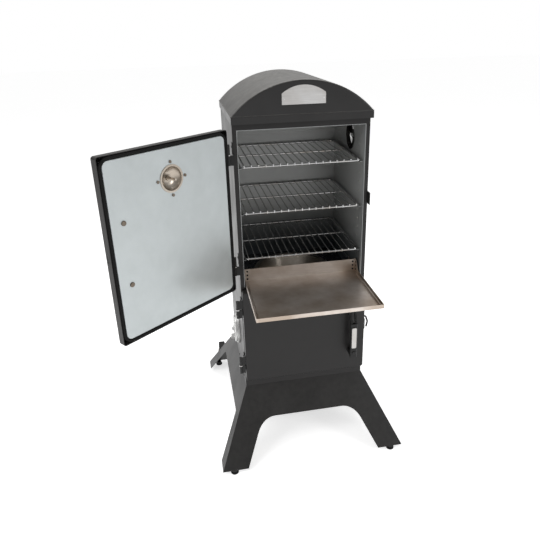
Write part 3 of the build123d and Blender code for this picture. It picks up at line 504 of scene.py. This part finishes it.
# ---------------------------------------------------------------- doors
UPPER_HINGE = JOINTS["upper_door_hinge"]
HINGE_AXIS = Vector(UPPER_HINGE["pos_m"])
SWING = (
    Matrix.Translation(HINGE_AXIS)
    @ Matrix.Rotation(radians(UPPER_HINGE["range_deg"][0]), 4, "Z")
    @ Matrix.Translation(-HINGE_AXIS))
DOOR_LOW, DOOR_HIGH = (Vector(corner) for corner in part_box("lower_door_skin"))
DOOR_HALF = (DOOR_HIGH.x - DOOR_LOW.x) / 2
DOOR_FACE = DOOR_LOW.y
DOOR_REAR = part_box("lower_door_liner")[1][1]
ROPE_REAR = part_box("lower_door_gasket")[1][1]
UPPER_Z = (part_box("upper_door_skin")[0][2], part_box("upper_door_skin")[1][2])
LOWER_Z = (DOOR_LOW.z, DOOR_HIGH.z)
DOORS = {
    "upper_door": (UPPER_Z, SWING),
    "lower_door": (LOWER_Z, Matrix.Identity(4)),
}


def door_rope(body):
    """Braided seal in the channel round a door's liner."""
    (low, high), place = DOORS[body]
    radius = 4.45 * MM
    inset = 7.3 * MM
    spacing = 1.6 * MM
    loop = rounded_loop(DOOR_HALF - inset, low + inset, high - inset, 25 * MM, spacing)
    depth = Vector((CABINET_X, ROPE_REAR - radius * 1.04, 0))
    path = [
        (point + depth, Vector((cos(angle), 0, sin(angle))), Vector((0, 1, 0)))
        for point, angle in loop]

    def strand(index, angle):
        return radius * (1 + 0.045 * sin(index * 1.25 + 4 * angle) * sin(index * 1.25 - 4 * angle))

    mesh = bmesh.new()
    swept(mesh, path, strand, 16)
    mesh.transform(place)
    rope = mesh_piece(f"{body}_rope", mesh, body, ROPE)
    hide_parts(f"{body}_gasket")


def latch_slot_shade(body):
    """Near-flat black patch on a door's free edge: painted shade standing in for the dark latch
    slot where the side catch grips it.
    """
    _, place = DOORS[body]
    half_width, half_height = 5 * MM, 13 * MM
    raised, sunk = 0.25 * MM, 0.02 * MM
    centre_y = (DOOR_FACE + DOOR_REAR) / 2
    centre_z = CATCH_HEIGHTS[body]
    loop = rounded_loop(half_width, centre_z - half_height, centre_z + half_height, 4 * MM, 2 * MM)
    mesh = bmesh.new()
    rings = []
    for depth, across, along in (
            (raised, 1.0, 1.0), (raised, 0.72, 0.874), (sunk, 0.62, 0.829), (sunk, 0.02, 0.02)):
        rings.append([
            mesh.verts.new((
                DOOR_HIGH.x + depth,
                centre_y + point.x * across,
                centre_z + (point.z - centre_z) * along))
            for point, _ in loop])
    for outer, inner in zip(rings, rings[1:]):
        bridge(mesh, outer, inner)
    mesh.transform(place)
    # The black plastic patch is painted shade of the slot.
    mesh_piece(f"{body}_latch_slot_shade", mesh, body, PLASTIC)


def grip_border(body):
    """Raised border round the bright plate in a handle."""
    _, place = DOORS[body]
    low, high = (Vector(corner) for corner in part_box("lower_handle_insert"))
    rise = 0.0
    if body == "upper_door":
        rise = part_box("upper_handle_insert")[0][2] - low.z
    centre_x = (low.x + high.x) / 2
    inset = 0.6 * MM
    loop = rounded_loop(
        (high.x - low.x) / 2 - inset, low.z + inset, high.z - inset, 4.4 * MM, 3 * MM)
    path = [
        (
            Vector((centre_x + point.x, low.y + 0.2 * MM, point.z + rise)),
            Vector((cos(angle), 0, sin(angle))), Vector((0, 1, 0)))
        for point, angle in loop]
    mesh = bmesh.new()
    tube(mesh, path, 0.7 * MM, 8)
    mesh.transform(place)
    mesh_piece(f"{body}_grip_border", mesh, body, PLASTIC)


# ---------------------------------------------------------------- thermometer
def dial_ticks():
    """Tick marks round the dial, every ninth one longer and wider."""
    low, high = (Vector(corner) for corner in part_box("thermometer_dial"))
    centre = SWING.inverted() @ ((low + high) / 2)
    face = centre.y - 0.62 * MM
    tick_count, first_angle, step_angle = 55, 225, 5
    outer = 30.5 * MM
    mesh = bmesh.new()
    for tick in range(tick_count):
        angle = radians(first_angle - tick * step_angle)
        major = tick % 9 == 0
        inner = (24.5 if major else 27.5) * MM
        half = (0.55 if major else 0.28) * MM
        along = Vector((cos(angle), 0, sin(angle)))
        across = Vector((-sin(angle), 0, cos(angle)))
        base = Vector((centre.x, face, centre.z))
        mesh.faces.new([
            mesh.verts.new(base + along * reach + across * side)
            for reach, side in ((inner, -half), (outer, -half), (outer, half), (inner, half))])
    mesh.transform(SWING)
    solid = mesh_piece("dial_ticks", mesh, "upper_door", MARKS, smooth=False)
    thicken = solid.modifiers.new("thickness", "SOLIDIFY")
    thicken.thickness = 0.1 * MM


# ---------------------------------------------------------------- cabinet details
def lid_bead():
    """Rolled bead where the lid's arch meets its rim."""
    low, high = (Vector(corner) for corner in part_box("lid"))
    spring = high.z - ARCH_RISE
    inset = 0.6 * MM
    corners = (
        (low.x + inset, low.y + inset), (high.x - inset, low.y + inset),
        (high.x - inset, high.y - inset), (low.x + inset, high.y - inset))
    bend = 3 * MM
    path = []
    for start_angle, (x, y) in zip((180, 270, 0, 90), corners):
        into = (1 if x < CABINET_X else -1) * bend
        back = (1 if y < CABINET_Y else -1) * bend
        bend_centre = Vector((x + into, y + back, spring))
        for step in range(7):
            angle = radians(start_angle + 15 * step)
            out = Vector((cos(angle), sin(angle), 0))
            path.append((bend_centre + out * bend, out, Vector((0, 0, 1))))
    mesh = bmesh.new()
    tube(mesh, path, 1.6 * MM, 10)
    mesh_piece("lid_bead", mesh, "cabinet", LID_PAINT)


def nameplate_rivets():
    """A rivet at each end of the blank plate."""
    low, high = (Vector(corner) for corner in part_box("nameplate"))
    z = low.z + 15 * MM
    mesh = bmesh.new()
    for x in (low.x + 6 * MM, high.x - 6 * MM):
        dome_screw(mesh, (x, low.y, z), (0, -1, 0), 2.0 * MM, recess=False)
    mesh_piece("nameplate_rivets", mesh, "cabinet", ZINC)


def hinge_screws():
    """Two domed screws through each hinge leaf on the left side sheet."""
    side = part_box("side_panels")[0][0]
    leaf_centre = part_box("hinge_brackets")[1][1] - 6 * MM
    mesh = bmesh.new()
    for z in HINGE_HEIGHTS:
        for rise in (-18 * MM, 18 * MM):
            dome_screw(mesh, (side - 2.5 * MM, leaf_centre, z + rise), (-1, 0, 0), 3.6 * MM)
    mesh_piece("hinge_leaf_screws", mesh, "cabinet", BLACK_STEEL)


def back_screws():
    """Six sheet screws down each edge of the back panel."""
    low, high = (Vector(corner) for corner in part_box("back_panel"))
    margin = 25 * MM
    gap = (high.z - low.z - 2 * margin) / 5
    mesh = bmesh.new()
    for x in (low.x + 9 * MM, high.x - 9 * MM):
        for step in range(6):
            z = low.z + margin + step * gap
            dome_screw(mesh, (x, high.y, z), (0, 1, 0), 4.0 * MM)
    mesh_piece("back_panel_screws", mesh, "cabinet", ZINC)


def base_screws():
    """Bolts that hold the flared base to the cabinet's bottom edge, three on each side."""
    panel_low, panel_high = (Vector(corner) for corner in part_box("side_panels"))
    z = panel_low.z + 11 * MM
    mesh = bmesh.new()
    for side, direction in ((panel_low.x, -1), (panel_high.x, 1)):
        for y in (-130 * MM, 0.0, 130 * MM):
            dome_screw(mesh, (side, CABINET_Y + y, z), (direction, 0, 0), 4.5 * MM)
    mesh_piece("base_side_screws", mesh, "cabinet", BLACK_STEEL)


def base_folds():
    """Rounded fold along each of the four mitred corners of the flared base."""
    radius = 1.3 * MM
    inset = 1.7 * MM
    top_low, top_high = (Vector(corner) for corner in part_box("side_panels"))
    foot_low, foot_high = (Vector(corner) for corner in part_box("base_sides"))
    sides = ((top_low.x, foot_low.x, inset), (top_high.x, foot_high.x, -inset))
    ends = (
        (CABINET_Y - HALF_DEPTH, foot_low.y, inset), (CABINET_Y + HALF_DEPTH, foot_high.y, -inset))
    mesh = bmesh.new()
    for top_x, foot_x, into in sides:
        for top_y, foot_y, back in ends:
            start = Vector((top_x + into, top_y + back, top_low.z - 1 * MM))
            end = Vector((foot_x + into, foot_y + back, foot_low.z + 1 * MM))
            along = (end - start).normalized()
            across = along.orthogonal().normalized()
            path = [(start.lerp(end, step / 8), across, along.cross(across)) for step in range(9)]
            tube(mesh, path, radius, 10, closed=False)
    mesh_piece("base_folds", mesh, "cabinet", BASE_PAINT)


def damper_rims(node, body):
    """Raised rim, hub ring and two ribs on a damper's turning disc."""
    low, high = (Vector(corner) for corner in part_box(node))
    outward = -1 if low.x < CABINET_X else 1
    face = low.x + 14 * MM if outward < 0 else high.x - 14 * MM
    centre = Vector((face, (low.y + high.y) / 2, (low.z + high.z) / 2))
    mesh = bmesh.new()
    for radius, thick in ((45.4 * MM, 1.7 * MM), (15.5 * MM, 1.2 * MM)):
        tube(mesh, hoop_path(centre, radius, outward, 72), thick, 10)
    for degrees in (30, 150):
        angle = radians(degrees)
        out = Vector((0, cos(angle), sin(angle)))
        across = Vector((0, -out.z, out.y))
        path = [
            (centre + out * reach * MM, across, Vector((outward, 0, 0)))
            for reach in (15.5, 22.0, 30.0, 38.0, 45.0)]
        tube(mesh, path, 1.3 * MM, 10, closed=False)
    mesh_piece(f"{node}_ribs", mesh, body, CAST)


def housing_screws():
    """Three screws round each fixed damper ring."""
    left, right = (corner[0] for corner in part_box("side_panels"))
    proud, pitch_radius = 8 * MM, 49.8 * MM
    intake_y, exhaust_y = CABINET_Y - 20 * MM, CABINET_Y - 25 * MM
    places = (
        (right + proud, 1, intake_y, INTAKE_HEIGHT), (left - proud, -1, intake_y, INTAKE_HEIGHT),
        (right + proud, 1, exhaust_y, EXHAUST_HEIGHT))
    mesh = bmesh.new()
    for x, direction, y, z in places:
        for turn in range(3):
            angle = radians(90 + 120 * turn)
            point = (x, y + pitch_radius * cos(angle), z + pitch_radius * sin(angle))
            dome_screw(mesh, point, (direction, 0, 0), 2.2 * MM)
    mesh_piece("damper_housing_screws", mesh, "cabinet", ZINC)


def wheel_rings(node, body):
    """Raised ring on each face of a wheel."""
    low, high = (Vector(corner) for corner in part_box(node))
    centre = (low + high) / 2
    inset, radius = 1.2 * MM, 31.5 * MM
    mesh = bmesh.new()
    for x in (low.x + inset, high.x - inset):
        path = hoop_path(Vector((x, centre.y, centre.z)), radius, 1, 64)
        tube(mesh, path, 1.1 * MM, 8)
    mesh_piece(f"{node}_rings", mesh, body, RUBBER)


# ---------------------------------------------------------------- studio
SURROUND_AS_LIGHT, SURROUND_TO_CAMERA = 0.42, 1.0


def build_floor():
    """Wide pale floor that glows, so that it nearly fades into the white surround."""
    bpy.ops.mesh.primitive_plane_add(size=40, location=(0, 0, 0))
    floor = bpy.context.object
    floor.name = "floor"
    shader = Shader("floor_paper", (0.86, 0.86, 0.86), 0.9)
    tone = shader.noise(shader.place(), 1.5, 2.0)
    shader.colour(shader.blend(tone, (0.86, 0.86, 0.86), (0.88, 0.88, 0.88)))
    shader.surface.inputs["Emission Color"].default_value = (1.0, 1.0, 1.0, 1.0)
    shader.surface.inputs["Emission Strength"].default_value = 0.62
    floor.data.materials.append(shader.material)


def area_light(name, position, target, size, power):
    """Square soft white light aimed at a point; both places are from the cabinet's foot centre."""
    data = bpy.data.lights.new(name, "AREA")
    data.size = size
    data.energy = power
    lamp = bpy.data.objects.new(name, data)
    lamp.location = CABINET + Vector(position)
    aim = Vector(target) - Vector(position)
    lamp.rotation_euler = aim.to_track_quat("-Z", "Y").to_euler()
    bpy.context.scene.collection.objects.link(lamp)


def build_light():
    """Soft lights left, right and overhead; the surround is fully white to the camera only."""
    world = bpy.data.worlds.new("white_surround")
    world.use_nodes = True
    tree = world.node_tree
    background = tree.nodes["Background"]
    background.inputs["Color"].default_value = (1.0, 1.0, 1.0, 1.0)
    path = tree.nodes.new("ShaderNodeLightPath")
    strength = tree.nodes.new("ShaderNodeMapRange")
    strength.inputs["To Min"].default_value = SURROUND_AS_LIGHT
    strength.inputs["To Max"].default_value = SURROUND_TO_CAMERA
    tree.links.new(path.outputs["Is Camera Ray"], strength.inputs["Value"])
    tree.links.new(strength.outputs["Result"], background.inputs["Strength"])
    bpy.context.scene.world = world
    target = (0, 0, 0.7)
    area_light("key_left", (-2.6, -1.5, 2.9), target, 1.8, 56)
    area_light("right_window", (2.3, -2.4, 1.9), target, 1.0, 26)
    area_light("overhead", (0.0, 0.9, 3.3), target, 2.4, 50)
    bpy.context.scene.view_settings.view_transform = "Standard"


def build_camera():
    """Camera in front, a little left and above, turned right and down."""
    turn, tilt, roll = radians(10.44), radians(22.83), radians(-1.28)
    forward = Vector((sin(turn) * cos(tilt), cos(turn) * cos(tilt), -sin(tilt)))
    right = Vector((cos(turn), -sin(turn), 0))
    up = right.cross(forward)
    rolled_right = right * cos(roll) + up * sin(roll)
    rolled_up = up * cos(roll) - right * sin(roll)
    data = bpy.data.cameras.new("camera")
    data.sensor_width = 36.0
    data.lens = 36.01
    data.shift_x = -0.0247
    data.shift_y = -0.0331
    data.clip_start = 0.05
    camera = bpy.data.objects.new("camera", data)
    axes = Matrix((rolled_right, rolled_up, -forward)).transposed()
    place = CABINET + Vector((-0.3445, -1.7023, 1.3619))
    camera.matrix_world = Matrix.Translation(place) @ axes.to_4x4()
    bpy.context.scene.collection.objects.link(camera)
    bpy.context.scene.camera = camera


paint_nodes()
for door in DOORS:
    door_rope(door)
    latch_slot_shade(door)
    grip_border(door)
dial_ticks()
lid_bead()
nameplate_rivets()
hinge_screws()
back_screws()
base_screws()
base_folds()
for rotor in ("intake_damper_left", "intake_damper_right", "exhaust_damper"):
    damper_rims(rotor, rotor)
housing_screws()
for wheel in ("wheel_left", "wheel_right"):
    wheel_rings(wheel, wheel)
build_floor()
build_light()
build_camera()
